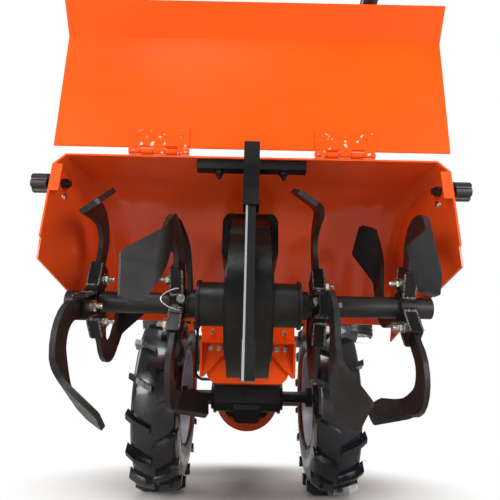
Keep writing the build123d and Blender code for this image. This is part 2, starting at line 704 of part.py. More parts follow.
def handlebar():
    """Stem from the pivot, cross tube and the two handle tubes."""
    body = bar_x((-16.5, 16.5), *PIVOT, 18) + bar_x((-30, 30), *PIVOT, PIVOT_R)
    body += rod((0, *PIVOT), (0, *CROSS), STEM_R)
    body += bar_x((-145, 145), *CROSS, CROSS_R)
    for s in (-1, 1):
        body += pipe(handle_path(s), BAR_R, 60, BAR_R - 2.5)
    return body


def grip(s):
    """Rubber grip on a tube end."""
    end = -REAR_REACH
    outer = bar_y(s * GRIP_X, (end, end + GRIP_LEN), GRIP_Z, GRIP_R)
    outer = fillet(outer.edges().group_by(Axis.Y)[0], 5)
    return outer - bar_y(s * GRIP_X, (end + 3, end + GRIP_LEN + 1), GRIP_Z, BAR_R)


def hand_lever(s):
    """Clutch or brake lever in front of a grip."""
    y = -REAR_REACH + GRIP_LEN + 10
    x, z = s * GRIP_X, GRIP_Z
    clamp = bar_y(x, (y, y + 25), z, GRIP_R) - bar_y(x, (y - 5, y + 30), z, BAR_R)
    side = [(y + 3, z + 14), (y + 23, z + 14), (y + 15, z + 46), (y - 115, z + 60), (y - 115, z + 52), (y - 1, z + 36)]
    return clamp + slab(side, (x - 5, x + 5))


def gear_lever():
    """Gear rod from the transmission up beside the handlebar, with its knob."""
    stalk = pipe([(62, 0, 340), (62, 0, 480), (62, -80, 600), (62, -186, 640)], 5, 30)
    foot = block((48, 68), (-12, 12), (312, 345))
    ball = Pos(62, -192, 642) * Sphere(17)
    return stalk + foot + ball


CABLE_R = 3.5


def cables():
    """Two control cables clipped between the handlebar column and the transmission."""
    # side, outer X, Y, upper Z, lower Z, X where it enters the case
    table = [(-1, 122, -45, 380, 242, CASE_X), (1, 104, -32, 372, 290, 48)]
    runs = []
    for s, x, y, high, low, case in table:
        points = [(s * 26, y, high), (s * x, y, high), (s * x, y, low), (s * case, y, low)]
        runs.append(pipe(points, CABLE_R, 20))
    return runs


def stand():
    """Parking stand: a tube across the front plate with a leg and a foot on each side."""
    bar = bar_x((-STAND_X, STAND_X), STAND_Y, STAND_Z, STAND_R)
    back = 48.0
    legs = [rod((s * STAND_X, STAND_Y, STAND_Z), (s * STAND_X, STAND_Y - back, 4), 11) for s in (-1, 1)]
    legs = [leg & block((-400, 400), (0, 900), (0, 400)) for leg in legs]
    foot_y = STAND_Y - back
    feet = [block((s * STAND_X - 24, s * STAND_X + 24), (foot_y - 30, foot_y + 30), (0, 8)) for s in (-1, 1)]
    return bar.fuse(*legs, *feet)


for name, s in (("left", -1), ("right", 1)):
    save(f"tyre_{name}", Pos(s * WHEEL_X, 0, WHEEL_R) * tyre())
    save(f"rim_{name}", Pos(s * WHEEL_X, 0, WHEEL_R) * (rim() if s > 0 else mirror(rim(), about=Plane.YZ)))
right_axle, left_axle = both(axle)
save("axle_right", right_axle)
save("axle_left", left_axle)
save("transmission_case", transmission())
save("bell_housing", bell())
save("engine_crankcase", engine())
save("engine_cylinder", cylinder())
save("recoil_starter", recoil())
save("fuel_tank", tank())
save("air_cleaner", air_cleaner())
save("carburettor", carburettor())
save("muffler", muffler())
save("engine_cradle", cradle())
save("tiller_case", tiller_case())
save("coupling_bracket", bracket())
save("tine_shaft", shaft())
for name, (x, tines) in TINE_GROUPS.items():
    save(name, tine_group(x, tines))
save("hood_middle", hood_sheet((-SEAM_X, SEAM_X)))
right_side, left_side = both(hood_side)
save("hood_wing_right", right_side)
save("hood_wing_left", left_side)
save("rear_flap", flap())
save("hood_hinge_leaves", *[Pos(s * HINGE_X, 0, 0) * hood_leaf() for s in (-1, 1)])
save("flap_hinge_leaves", *[Pos(s * HINGE_X, 0, 0) * flap_leaf() for s in (-1, 1)])
save("hood_crossbar", crossbar())
save("spur_sleeve", sleeve())
save("depth_spur", spur())
save("hood_knobs", *[knob(s) for s in (-1, 1)])
save("handlebar_column", column())
save("handlebar", handlebar())
save("grips", *[grip(s) for s in (-1, 1)])
save("hand_levers", *[hand_lever(s) for s in (-1, 1)])
save("gear_lever", gear_lever())
save("control_cables", *cables())
save("parking_stand", stand())
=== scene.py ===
import json
import math
import random

import bmesh
import bpy
from mathutils import Matrix, Vector


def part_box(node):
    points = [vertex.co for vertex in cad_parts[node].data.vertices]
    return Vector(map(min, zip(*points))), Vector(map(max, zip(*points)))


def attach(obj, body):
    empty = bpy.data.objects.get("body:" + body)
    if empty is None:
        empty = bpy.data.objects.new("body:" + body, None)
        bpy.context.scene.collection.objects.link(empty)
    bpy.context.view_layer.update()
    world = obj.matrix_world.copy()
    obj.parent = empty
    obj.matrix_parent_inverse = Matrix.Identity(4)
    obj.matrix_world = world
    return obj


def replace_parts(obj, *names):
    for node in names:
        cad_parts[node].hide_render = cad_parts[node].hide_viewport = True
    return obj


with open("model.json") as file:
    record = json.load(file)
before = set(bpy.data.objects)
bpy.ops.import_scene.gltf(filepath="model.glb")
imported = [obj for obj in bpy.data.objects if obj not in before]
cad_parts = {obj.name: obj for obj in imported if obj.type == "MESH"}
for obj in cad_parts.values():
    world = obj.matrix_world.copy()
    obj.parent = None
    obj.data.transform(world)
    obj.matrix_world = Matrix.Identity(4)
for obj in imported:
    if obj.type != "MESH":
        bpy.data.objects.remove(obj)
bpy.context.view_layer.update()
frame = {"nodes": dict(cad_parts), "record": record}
NODES = frame["nodes"]
SLOT_OF = {s["node"]: s["material_slot"] for s in frame["record"]["subparts"]}
MM = 0.001
LEFT_AND_RIGHT = ((-1, "left"), (1, "right"))      # sign of X on each side, and its name


# ---- places read from the frame ----
def middle(node):
    """Middle of a CAD node's box."""
    low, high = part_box(node)
    return (Vector(low) + Vector(high)) / 2


AXLE = (middle("tyre_left") + middle("tyre_right")) / 2
SHAFT = middle("tine_shaft")


def at(x, y, z):
    """Point in mm: from the middle plane, from the wheel axle towards the engine, and from the floor."""
    return Vector((x * MM, AXLE.y + y * MM, z * MM))


def sided(s, place):
    """Point in mm as at() takes it, on the right for s = 1 and mirrored to the left for s = -1."""
    x, y, z = place
    return at(s * x, y, z)


# ---- materials ----
NOISE_LOW, NOISE_HIGH = 0.3, 0.7     # most of a noise lies between these
PATCHES = (0.34, 0.66)               # a noise turns from a finish's first colour to its second between these
BUMP_STRENGTH = 0.35
COAT_ROUGHNESS = 0.08


def new_material(name):
    """A material with only its shader and output, as (material, shader)."""
    mat = bpy.data.materials.new(name)
    mat.use_nodes = True
    return mat, mat.node_tree.nodes["Principled BSDF"]


def noise(tree, scale, detail, seed=0.0):
    """Noise over the row frame; scale is in waves per metre."""
    coord = tree.nodes.new("ShaderNodeTexCoord")
    shift = tree.nodes.new("ShaderNodeMapping")
    shift.inputs["Location"].default_value = (seed, seed * 0.7, seed * 1.3)
    node = tree.nodes.new("ShaderNodeTexNoise")
    node.inputs["Scale"].default_value = scale
    node.inputs["Detail"].default_value = detail
    tree.links.new(coord.outputs["Object"], shift.inputs["Vector"])
    tree.links.new(shift.outputs["Vector"], node.inputs["Vector"])
    return node.outputs["Fac"]


def ramp(tree, value, stops):
    """Colour ramp over value; stops are two (place, colour) pairs."""
    node = tree.nodes.new("ShaderNodeValToRGB")
    for element, (place, colour) in zip(node.color_ramp.elements, stops):
        element.position = place
        element.color = (*colour, 1.0)
    tree.links.new(value, node.inputs["Fac"])
    return node.outputs["Color"]


def spread(tree, value, low, high):
    """A noise's usual range mapped to low..high."""
    node = tree.nodes.new("ShaderNodeMapRange")
    node.inputs["From Min"].default_value = NOISE_LOW
    node.inputs["From Max"].default_value = NOISE_HIGH
    node.inputs["To Min"].default_value = low
    node.inputs["To Max"].default_value = high
    tree.links.new(value, node.inputs["Value"])
    return node.outputs["Result"]


def bump(tree, shader, height, distance):
    """Adds relief of a height in metres to a shader."""
    node = tree.nodes.new("ShaderNodeBump")
    node.inputs["Strength"].default_value = BUMP_STRENGTH
    node.inputs["Distance"].default_value = distance
    tree.links.new(height, node.inputs["Height"])
    tree.links.new(node.outputs["Normal"], shader.inputs["Normal"])


def calculated(tree, operation, first, second):
    """Result of a Math node on a socket and a second socket or a number."""
    node = tree.nodes.new("ShaderNodeMath")
    node.operation = operation
    tree.links.new(first, node.inputs[0])
    if isinstance(second, float):
        node.inputs[1].default_value = second
    else:
        tree.links.new(second, node.inputs[1])
    return node.outputs[0]


def seen_directly(tree):
    """1 for rays from the camera or through glass, and 0 for all others, so that it lights nothing."""
    path = tree.nodes.new("ShaderNodeLightPath")
    return calculated(tree, "MAXIMUM", path.outputs["Is Camera Ray"], path.outputs["Is Transmission Ray"])


def finish_of(
    name, dark, light, rough,
    metallic=0.0, scale=9.0, grain=0.0, coat=0.0, depth=0.0004, gloss=0.5, patches=PATCHES,
):
    """A worn, slightly uneven finish between two colours.

    rough is its range of roughness, scale and grain are the waves per metre of its patches and of its
    relief, depth is that relief's height in metres, and gloss is its specular level.
    """
    mat, shader = new_material(name)
    tree = mat.node_tree
    colour = ramp(tree, noise(tree, scale, 5.0), zip(patches, (dark, light)))
    tree.links.new(colour, shader.inputs["Base Color"])
    tree.links.new(spread(tree, noise(tree, scale * 3, 4.0, 3), *rough), shader.inputs["Roughness"])
    shader.inputs["Metallic"].default_value = metallic
    shader.inputs["Specular IOR Level"].default_value = gloss
    if coat:
        shader.inputs["Coat Weight"].default_value = coat
        shader.inputs["Coat Roughness"].default_value = COAT_ROUGHNESS
    if grain:
        bump(tree, shader, noise(tree, grain, 2.0, 7), depth)
    return mat


def with_painted_highlight(mat, low, high, colour):
    """Turns a finish bright between two values of X, as a painted highlight along a bar's bevelled edge."""
    tree = mat.node_tree
    shader = tree.nodes["Principled BSDF"]
    coord = tree.nodes.new("ShaderNodeTexCoord")
    split = tree.nodes.new("ShaderNodeSeparateXYZ")
    tree.links.new(coord.outputs["Object"], split.inputs["Vector"])
    above = calculated(tree, "GREATER_THAN", split.outputs["X"], low)
    below = calculated(tree, "LESS_THAN", split.outputs["X"], high)
    mix = tree.nodes.new("ShaderNodeMix")
    mix.data_type = "RGBA"
    tree.links.new(calculated(tree, "MULTIPLY", above, below), mix.inputs["Factor"])
    tree.links.new(shader.inputs["Base Color"].links[0].from_socket, mix.inputs["A"])
    mix.inputs["B"].default_value = (*colour, 1.0)
    tree.links.new(mix.outputs["Result"], shader.inputs["Base Color"])
    return mat


def grey(value):
    """A neutral colour."""
    return (value, value, value)


ORANGE_DARK, ORANGE_LIGHT = (0.84, 0.076, 0.001), (0.90, 0.090, 0.0015)
# a deeper red copy of the orange paint for the hood: painted shade, for the shade inside the hood
SHADED_RED_DARK, SHADED_RED_LIGHT = (0.80, 0.078, 0.010), (0.90, 0.100, 0.014)
BLACK_DARK, BLACK_LIGHT = grey(0.003), grey(0.008)
CHIP = (0.80, 0.52, 0.40)
# light grey of the spur's painted highlight, where its bevelled edge catches the light
HIGHLIGHT_GREY = (0.30, 0.31, 0.34)
HIGHLIGHT_FROM, HIGHLIGHT_TO = -0.0065, -0.0036     # X of the spur's painted highlight strip, in metres

# of each slot: two colours, range of roughness, and what differs from the values that finish_of has
FINISHES = {
    "orange_paint": (
        ORANGE_DARK, ORANGE_LIGHT, (0.30, 0.42), dict(scale=5.0, grain=420.0, depth=0.0002, gloss=0.2)
    ),
    "black_casting": (
        BLACK_DARK, BLACK_LIGHT, (0.26, 0.44), dict(scale=14.0, grain=260.0, depth=0.0005, gloss=0.22)
    ),
    "tine_steel": (
        grey(0.007), (0.017, 0.016, 0.016), (0.34, 0.50),
        dict(scale=22.0, grain=500.0, depth=0.0003, gloss=0.35),
    ),
    "silver_rim": ((0.46, 0.44, 0.50), (0.60, 0.58, 0.64), (0.28, 0.42), dict(metallic=0.4, scale=20.0)),
    "zinc": ((0.62, 0.60, 0.52), (0.80, 0.80, 0.78), (0.18, 0.34), dict(metallic=1.0, scale=60.0)),
    # the blue tint in the tyre rubber's colours is painted reflection, for the bluish sheen on the tyres'
    # crowns; the rubber itself is black
    "tyre_rubber": (
        (0.004, 0.005, 0.007), (0.010, 0.012, 0.017), (0.14, 0.30),
        dict(scale=18.0, grain=300.0, coat=0.3, depth=0.0003),
    ),
    "grip_rubber": (grey(0.012), grey(0.024), (0.55, 0.7), dict(grain=500.0)),
    "black_plastic": ((0.006, 0.006, 0.007), (0.014, 0.014, 0.015), (0.3, 0.45), dict(grain=700.0)),
    "cast_aluminium": (
        (0.36, 0.36, 0.37), (0.52, 0.52, 0.53), (0.4, 0.6), dict(metallic=0.7, grain=380.0)
    ),
    "black_tube": (grey(0.006), grey(0.014), (0.2, 0.3), dict(coat=0.4)),
}
LOOKS = {
    slot: finish_of(slot, dark, light, rough, **rest)
    for slot, (dark, light, rough, rest) in FINISHES.items()
}
# the hood's paint in its deeper red copy, as painted shade inside the hood
HOOD_LOOK = finish_of(
    "hood_paint_shaded", SHADED_RED_DARK, SHADED_RED_LIGHT, (0.16, 0.26),
    scale=4.0, grain=300.0, coat=0.4, depth=0.0001, gloss=0.3,
)
# its light grey patches are partly the beads' uneven tone and partly painted glints, for white specks of
# light on the beads
WELD_LOOK = finish_of(
    "weld", grey(0.004), grey(0.09), (0.06, 0.20), scale=300.0, grain=700.0, depth=0.0006, gloss=1.0
)
HAIR_LOOK = finish_of("moulding_hair", grey(0.01), grey(0.02), (0.4, 0.5))
CHIPPED_LOOK = finish_of(
    "chipped_paint", ORANGE_DARK, CHIP, (0.30, 0.42),
    scale=130.0, grain=420.0, gloss=0.2, patches=(0.63, 0.67),
)
# the spur's light grey strip is a painted highlight on the bar's bevelled edge
SPUR_LOOK = with_painted_highlight(
    finish_of("spur_paint", BLACK_DARK, BLACK_LIGHT, (0.16, 0.30), scale=14.0, grain=260.0, coat=0.4),
    HIGHLIGHT_FROM, HIGHLIGHT_TO, HIGHLIGHT_GREY,
)
LOOK_OF_NODE = {
    "hood_middle": HOOD_LOOK, "hood_wing_left": HOOD_LOOK, "hood_wing_right": HOOD_LOOK,
    "depth_spur": SPUR_LOOK, "flap_hinge_leaves": CHIPPED_LOOK,
}
for name, node in NODES.items():
    node.data.materials.clear()
    node.data.materials.append(LOOK_OF_NODE.get(name, LOOKS[SLOT_OF[name]]))


# ---- making of pieces ----
DICE = random.Random(7)
SHARP = math.radians(38)     # edges that turn by more are rounded


def added(name, data):
    """A new object in the scene."""
    obj = bpy.data.objects.new(name, data)
    bpy.context.scene.collection.objects.link(obj)
    return obj


def piece(name, bm, slot, body, look=None):
    """A new piece from a bmesh, on a body, with the finish of a slot."""
    mesh = bpy.data.meshes.new(name)
    bmesh.ops.recalc_face_normals(bm, faces=bm.faces)
    bm.to_mesh(mesh)
    bm.free()
    mesh.materials.append(look or LOOKS[slot])
    obj = added(name, mesh)
    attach(obj, body)
    return obj


def wire(name, points, radius, slot, body):
    """A bent wire through points."""
    data = bpy.data.curves.new(name, "CURVE")
    data.dimensions = "3D"
    data.bevel_depth = radius * MM
    data.bevel_resolution = 3
    line = data.splines.new("NURBS")
    line.points.add(len(points) - 1)
    for spot, place in zip(line.points, points):
        spot.co = (*place, 1.0)
    line.order_u = 3
    line.use_endpoint_u = True
    data.materials.append(LOOKS[slot])
    obj = added(name, data)
    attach(obj, body)


def smooth_faces(obj):
    """Shades a piece's faces smooth."""
    for face in obj.data.polygons:
        face.use_smooth = True


def soften(obj, width):
    """Rounds a piece's edges."""
    smooth_faces(obj)
    bevel = obj.modifiers.new("edges", "BEVEL")
    bevel.width = width
    bevel.segments = 2
    bevel.limit_method = "ANGLE"
    bevel.angle_limit = SHARP
    bevel.harden_normals = True


def turned(bm, origin, axis, profile, sides):
    """Adds a turned body; profile is (distance along the axis, radius) pairs in mm, closed at both ends."""
    axis = Vector(axis).normalized()
    across = axis.orthogonal().normalized()
    other = axis.cross(across)
    rings = []
    for along, radius in profile:
        centre = origin + axis * (along * MM)
        rings.append([
            bm.verts.new(centre + (across * math.cos(a) + other * math.sin(a)) * (radius * MM))
            for a in (math.tau * i / sides for i in range(sides))
        ])
    for lower, upper in zip(rings, rings[1:]):
        for i in range(sides):
            bm.faces.new((lower[i - 1], lower[i], upper[i], upper[i - 1]))
    bm.faces.new(reversed(rings[0]))
    bm.faces.new(rings[-1])


# an M8 fastener, in mm; other sizes scale it
WASHER_R, WASHER_T = 8.0, 1.6
NUT_R, NUT_T, HEAD_T = 7.5, 6.5, 5.3
NUT_CHAMFER, HEAD_CHAMFER = 0.8, 0.9                 # their heights, at every size
NUT_FOOT, NUT_TOP, HEAD_TOP = 0.9, 0.88, 0.84        # radius at a chamfer's end, as a share of NUT_R
THREAD_R, THREAD_OUT, PITCH = 4.0, 7.5, 1.25
THREAD_ROOT, THREAD_TIP, TIP_OUT = 0.86, 0.8, 0.6    # two shares of THREAD_R, and the length of the tip
WASHER_SIDES, THREAD_SIDES, RIVET_SIDES, HEXAGON = 28, 16, 20, 6


def washer(bm, origin, axis, k):
    """Flat washer on a face at origin; k scales it from M8."""
    turned(bm, origin, axis, [(0, WASHER_R * k), (WASHER_T * k, WASHER_R * k)], WASHER_SIDES)


def nut_end(bm, origin, axis, k=1.0):
    """Washer, nut and the thread's end, standing on a face at origin; k scales them from M8."""
    washer(bm, origin, axis, k)
    low, high = WASHER_T * k, (WASHER_T + NUT_T) * k
    turned(bm, origin, axis, [
        (low, NUT_R * NUT_FOOT * k), (low + NUT_CHAMFER, NUT_R * k),
        (high - NUT_CHAMFER, NUT_R * k), (high, NUT_R * NUT_TOP * k),
    ], HEXAGON)
    thread = []
    turns = int(THREAD_OUT * k / PITCH)
    for i in range(turns):
        thread += [
            (high + i * PITCH, THREAD_R * THREAD_ROOT * k), (high + (i + 0.5) * PITCH, THREAD_R * k)
        ]
    thread.append((high + turns * PITCH + TIP_OUT, THREAD_R * THREAD_TIP * k))
    turned(bm, origin, axis, thread, THREAD_SIDES)


def bolt_head(bm, origin, axis, k):
    """Hexagon head on its washer; k scales them from M8."""
    washer(bm, origin, axis, k)
    low, high = WASHER_T * k, (WASHER_T + HEAD_T) * k
    turned(bm, origin, axis, [
        (low, NUT_R * k), (high - HEAD_CHAMFER, NUT_R * k), (high, NUT_R * HEAD_TOP * k)
    ], HEXAGON)


BEAD_STEP = 1.15             # distance between a bead's drops, as a share of their radius


def bead(bm, start, end, radius):
    """A weld bead: overlapping uneven drops from start to end."""
    run = end - start
    count = max(1, round(run.length / (radius * MM * BEAD_STEP)))
    for i in range(count):
        r = radius * MM * DICE.uniform(0.8, 1.2)
        place = Matrix.Translation(start + run * ((i + DICE.uniform(0.2, 0.8)) / count))
        bmesh.ops.create_icosphere(bm, subdivisions=2, radius=r, matrix=place)


# ---- tines, in mm ----
SHANK_HALF = 12.0            # half of a shank's width
TINE_T = 7.0
FOLD_AT = 123.0              # shaft axis to the start of the fold, in the tine's side view
FOLD_R = 20.0
FOLD_LEAN = math.radians(47)
FOLD_STRIPS = 10
SHANK_CUTS = [60, 80, 100]   # more cuts across the shank, as FOLD_AT
ROOT_AT = 30                 # shaft axis to a shank's hidden end
HUB_R, HUB_HALF, HUB_SIDES = 21.0, 11.0, 48
SOCKET_START, SOCKET_END = 12.0, 56.0        # shaft axis to the ends of a socket
SOCKET_X, SOCKET_WIDTH = 17.0, 32.0
BOLT_OUT = 35.0              # shaft axis to a tine's bolt
# weld beads: across, to the tine's rear, out from the shaft axis, and radius
SEAM_X, SEAM_T, SEAM_START, SEAM_END, SEAM_R = 8.2, 15, 18, SOCKET_END - 3, 1.7      # on a socket's edges
FOOT_X, FOOT_T, FOOT_OUT, FOOT_R = 8, 15.5, 19, 2.6          # where a socket meets the hub
BLADE_EDGE, HUB_EDGE = 1.4, 1.5              # widths of the rounded edges

# X of a group, side of its nuts, then (root angle from up towards the rear, fold towards +X) of each tine
TINE_GROUPS = {
    "tines_outer_left": (-219.0, 1, [(-8, 58), (112, 58), (232, 58)]),
    "tines_inner_left": (-99.0, -1, [(-84, -58), (36, -58), (156, 58)]),
    "tines_inner_right": (99.0, 1, [(-21, -58), (99, 58), (219, 58)]),
    "tines_outer_right": (219.0, -1, [(-89, -58), (31, -58), (151, -58)]),
}


def through(p, q, r, steps=9):
    """Points of the arc through p, q and r, without its last point."""
    (ax, ay), (bx, by), (cx, cy) = p, q, r
    d = 2 * (ax * (by - cy) + bx * (cy - ay) + cx * (ay - by))
    a2, b2, c2 = ax * ax + ay * ay, bx * bx + by * by, cx * cx + cy * cy
    ux = (a2 * (by - cy) + b2 * (cy - ay) + c2 * (ay - by)) / d
    uy = (a2 * (cx - bx) + b2 * (ax - cx) + c2 * (bx - ax)) / d
    radius = math.hypot(ax - ux, ay - uy)
    start = math.atan2(ay - uy, ax - ux)
    middle_turn = (math.atan2(by - uy, bx - ux) - start) % math.tau
    turn = (math.atan2(cy - uy, cx - ux) - start) % math.tau
    if middle_turn > turn:
        turn -= math.tau
    return [
        (ux + radius * math.cos(start + turn * i / steps), uy + radius * math.sin(start + turn * i / steps))
        for i in range(steps)
    ]


def rooted(out, rear):
    """Point of a straight shank in the outline's axes, from its distance out and to its rear."""
    c, s = math.cos(FOLD_LEAN), math.sin(FOLD_LEAN)
    return out * c + rear * s, rear * c - out * s


def tine_outline():
    """Side view of a tine, as (out to the fold line, along it to the rear) in mm."""
    h = SHANK_HALF
    front = [rooted(ROOT_AT, -h)] + through(rooted(70, -h), (96, -86), (136, -44))
    blade = [(136, -44), (160, -3), (161, 2), (158, 51), (156, 54), (147, 54)]
    rear = through((143, 52), (124, -6), (104, -42)) + through((104, -42), (86, -55), rooted(78, h))
    return front + blade + rear + [rooted(78, h), rooted(ROOT_AT, h)]


def flat_out(v, angle):
    """Where a point at v in the folded tine's side view lies on its flat blank."""
    over = v - FOLD_AT
    arc = FOLD_R * math.sin(angle)
    if over <= 0:
        return v
    if over < arc:
        return FOLD_AT + FOLD_R * math.asin(over / FOLD_R)
    return FOLD_AT + FOLD_R * angle + (over - arc) / math.cos(angle)


def folded(v, angle):
    """A point at v on the flat blank after folding, as (out, sideways)."""
    over = max(0.0, v - FOLD_AT)
    turn = min(over / FOLD_R, angle)
    rest = over - FOLD_R * turn
    out = min(v, FOLD_AT) + FOLD_R * math.sin(turn) + rest * math.cos(turn)
    return out, FOLD_R * (1 - math.cos(turn)) + rest * math.sin(turn)


def cut_through(bm, place, normal):
    """Cuts every face of a bmesh along a plane."""
    geom = bm.verts[:] + bm.edges[:] + bm.faces[:]
    bmesh.ops.bisect_plane(bm, geom=geom, plane_co=place, plane_no=normal)


def add_tine(bm, origin, root, fold):
    """Adds the middle face of one tine, cut into strips along its fold and folded."""
    angle, side = math.radians(abs(fold)), math.copysign(1, fold)
    blank = bmesh.new()
    blank.faces.new([blank.verts.new((flat_out(v, angle), w, 0)) for v, w in tine_outline()])
    fold_cuts = [FOLD_AT + FOLD_R * angle * i / FOLD_STRIPS for i in range(FOLD_STRIPS + 1)]
    for cut in fold_cuts + SHANK_CUTS:
        cut_through(blank, (cut, 0, 0), (1, 0, 0))
    turn = Matrix.Rotation(math.radians(root), 3, "X")
    lean_out = Vector((0, -math.sin(FOLD_LEAN), math.cos(FOLD_LEAN)))
    lean_back = Vector((0, -math.cos(FOLD_LEAN), -math.sin(FOLD_LEAN)))
    made = {}
    for vert in blank.verts:
        out, across = folded(vert.co.x, angle)
        local = lean_out * out + lean_back * vert.co.y + Vector((side * across, 0, 0))
        made[vert] = bm.verts.new(origin + turn @ (local * MM))
    for face in blank.faces:
        bm.faces.new([made[v] for v in face.verts])
    blank.free()


def add_socket(hub, welds, bolts, origin, root, nut_side):
    """Adds one tine's socket with its weld beads and its bolt."""
    turn = Matrix.Rotation(math.radians(root), 4, "X")
    lift = Matrix.Translation((0, 0, (SOCKET_END + SOCKET_START) / 2 * MM))
    size = Matrix.Diagonal((SOCKET_X * MM, SOCKET_WIDTH * MM, (SOCKET_END - SOCKET_START) * MM, 1))
    bmesh.ops.create_cube(hub, size=1.0, matrix=Matrix.Translation(origin) @ turn @ lift @ size)

    def on(x, rear, out):
        """Point of the socket: across, to the tine's rear and out, in mm."""
        return origin + turn.to_3x3() @ (Vector((x, -rear, out)) * MM)

    for rear in (-SEAM_T, SEAM_T):
        for x in (-SEAM_X, SEAM_X):
            bead(welds, on(x, rear, SEAM_START), on(x, rear, SEAM_END), SEAM_R)
    for rear in (FOOT_T, -FOOT_T):
        bead(welds, on(-FOOT_X, rear, FOOT_OUT), on(FOOT_X, rear, FOOT_OUT), FOOT_R)
    nut_end(bolts, on(nut_side * SOCKET_X / 2, 0, BOLT_OUT), (nut_side, 0, 0))


def tine_group(node, x, nut_side, tines):
    """Tines, hub with sockets, weld beads and fasteners of one group, for its CAD node."""
    origin = Vector((x * MM, SHAFT.y, SHAFT.z))
    blades, hub, welds, bolts = bmesh.new(), bmesh.new(), bmesh.new(), bmesh.new()
    hub_end = origin - Vector((HUB_HALF * MM, 0, 0))
    turned(hub, hub_end, (1, 0, 0), [(0, HUB_R), (2 * HUB_HALF, HUB_R)], HUB_SIDES)
    for root, fold in tines:
        add_tine(blades, origin, root, fold)
        add_socket(hub, welds, bolts, origin, root, nut_side)
    made = piece(node + "_blades", blades, "tine_steel", "rotor")
    thick = made.modifiers.new("plate", "SOLIDIFY")
    thick.thickness = TINE_T * MM
    thick.offset = 0
    thick.use_even_offset = True
    soften(made, BLADE_EDGE * MM)
    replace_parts(made, node)
    soften(piece(node + "_hub", hub, "tine_steel", "rotor", LOOKS["black_casting"]), HUB_EDGE * MM)
    smooth_faces(piece(node + "_welds", welds, "tine_steel", "rotor", WELD_LOOK))
    piece(node + "_bolts", bolts, "zinc", "rotor")


for node, group in TINE_GROUPS.items():
    tine_group(node, *group)


# ---- the hood's wings ----
# X, Y and Z of the lower part of a side plate's rear lip, which the scene leaves out, in mm
LIP_X, LIP_Y, LIP_Z = (256.0, 267.5), (-608.0, -605.5), (372.0, 438.0)
NEAR = 1e-6                  # metres
JOINED = 1e-5


def shorter_lip(node, s):
    """The hood's wing with the lower part of its rear lip cut away, for its CAD node."""
    (x0, x1), (y0, y1), (z0, z1) = LIP_X, LIP_Y, LIP_Z
    bm = bmesh.new()
    bm.from_mesh(NODES[node].data)
    cut_through(bm, at(0, 0, z1), (0, 0, 1))
    cut_through(bm, at(s * x1, 0, 0), (1, 0, 0))
    front = at(0, y1 + 0.1, 0).y
    gone = []
    for face in bm.faces:
        spot = face.calc_center_median()
        if spot.y < front and abs(spot.x) < x1 * MM - NEAR and spot.z < z1 * MM - NEAR:
            gone.append(face)
    bmesh.ops.delete(bm, geom=gone, context="FACES")
    section = [(x0, y0, z1), (x1, y0, z1), (x1, y1, z1), (x0, y1, z1)]
    foot = [(x1, y0, z0), (x1, y1, z0), (x1, y1, z1), (x1, y0, z1)]
    for corners in (section, foot):
        bm.faces.new([bm.verts.new(sided(s, corner)) for corner in corners])
    bmesh.ops.remove_doubles(bm, verts=bm.verts[:], dist=JOINED)
    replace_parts(piece(node + "_sheet", bm, "orange_paint", "chassis", HOOD_LOOK), node)


for s, label in LEFT_AND_RIGHT:
    shorter_lip("hood_wing_" + label, s)


# ---- small parts: places as sided() takes them, profiles as turned() does ----
REARWARD = (0, -1, 0)

PIN_END = (92, -547, 309)                 # behind the shaft
PIN_PROFILE = [(-3, 5.5), (0, 6.5), (4, 6.5), (54, 4.0)]
PIN_RING = [(92, -549, 324), (106, -550, 322), (123, -551, 308), (106, -550, 295), (92, -549, 293)]
PIN_RING_R = 0.9


def shaft_pins():
    """Pins through the guard drums, each held by a ring of spring wire behind the shaft."""
    for s, label in LEFT_AND_RIGHT:
        pin = bmesh.new()
        turned(pin, sided(s, PIN_END), (0, 1, 0), PIN_PROFILE, RIVET_SIDES)
        piece("shaft_pin_" + label, pin, "zinc", "rotor")
        wire("pin_ring_" + label, [sided(s, p) for p in PIN_RING], PIN_RING_R, "zinc", "rotor")


STAY_BOLT, STAY_SIZE = (44, -597, 478), 0.8
LIP_RIVET, LIP_PROFILE = (267.4, -560, 452), [(0, 5), (2.4, 4.4)]
SHEET_RIVET, SHEET_PROFILE = (205, -345, 447), [(-4, 4.5), (1.5, 4.0)]
SHEET_INWARD = (0, -0.8, -0.6)
LEAF_X, LEAF_Y, LEAF_Z = 127, -614, 503   # foot of a hinge leaf on the raised flap
LEAF_LEAN = math.radians(5)
HINGE_RIVETS, HINGE_RIVET_UP, LEAF_OUT = (-30, 0, 30), 19, 2
HINGE_PROFILE = [(-1, 3.4), (0.9, 3.0), (1.5, 1.6)]


def hood_fasteners():
    """Bolts of the hood's stays and rivets of its sheets, seen from inside, and the rivets of the hinges."""
    bolts, stay, rivets = bmesh.new(), bmesh.new(), bmesh.new()
    for s, _ in LEFT_AND_RIGHT:
        nut_end(stay, sided(s, STAY_BOLT), (0, 0, -1), STAY_SIZE)
        turned(bolts, sided(s, LIP_RIVET), (-s, 0, 0), LIP_PROFILE, RIVET_SIDES)
        turned(bolts, sided(s, SHEET_RIVET), SHEET_INWARD, SHEET_PROFILE, RIVET_SIDES)
    piece("hood_bolts", bolts, "zinc", "chassis")
    piece("stay_bolts", stay, "black_casting", "chassis")
    c, n = math.cos(LEAF_LEAN), math.sin(LEAF_LEAN)
    y, z = LEAF_Y - HINGE_RIVET_UP * n - LEAF_OUT * c, LEAF_Z + HINGE_RIVET_UP * c
    for s, _ in LEFT_AND_RIGHT:
        for dx in HINGE_RIVETS:
            turned(rivets, at(s * LEAF_X + dx, y, z), Vector((0, -c, -n)), HINGE_PROFILE, RIVET_SIDES)
    piece("hinge_rivets", rivets, "orange_paint", "flap")


LEDGE_BOLTS, LEDGE_SIZE = [(60, -172, 296), (78, -172, 296)], 0.75
FLANGE_NUT, FLANGE_SIZE = (76, -172, 330), 0.8


